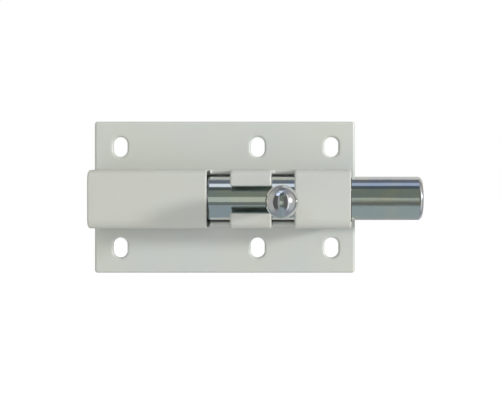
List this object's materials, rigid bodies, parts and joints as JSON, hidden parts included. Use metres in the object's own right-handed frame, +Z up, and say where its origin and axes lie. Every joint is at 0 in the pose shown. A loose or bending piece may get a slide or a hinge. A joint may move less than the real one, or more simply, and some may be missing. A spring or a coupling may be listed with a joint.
{
  "type": "slide bolt",
  "caption": "Surface-mounted slide bolt: a round bar with a ball knob slides in a sheet-steel cover on a slotted back plate; the knob turns through an H-shaped window to lock.",
  "frame": {"origin": "centre of the back plate's back face", "axes": "+X along the bar towards its free end, +Z up, -Y to the front where the knob stands; the row is at rest with the bar thrown and the knob pointing forwards"},
  "size_m": [0.0996, 0.0355, 0.0466],
  "materials": {
    "painted_steel": "pale grey stove enamel on sheet steel, satin",
    "zinc_plate": "bright zinc plate on turned steel",
    "ball_steel": "polished ball",
    "spring_steel": "drawn spring wire",
    "ring_rubber": "black rubber"
  },
  "bodies": {
    "housing": {"back_plate": "painted_steel", "barrel_cover": "painted_steel"},
    "carrier": {"friction_ring": "ring_rubber"},
    "bolt": {"bolt_bar": "zinc_plate", "knob": "zinc_plate", "detent_spring": "spring_steel"},
    "detent": {"detent_ball": "ball_steel"}
  },
  "joints": [
    {"name": "bolt_slide", "type": "slide", "parent": "housing", "child": "carrier", "axis": [1, 0, 0], "range_m": [-0.0188, 0]},
    {"name": "knob_turn", "type": "hinge", "parent": "carrier", "child": "bolt", "pos_m": [0, -0.0085, 0], "axis": [-1, 0, 0], "range_deg": [-85, 85]},
    {"name": "detent_press", "type": "slide", "parent": "bolt", "child": "detent", "axis": [0, 0.9397, -0.342], "range_m": [-0.0004, 0], "stiffness_N_per_m": 1000, "springref_m": 0.0005, "deforming": ["detent_spring"]}
  ]
}
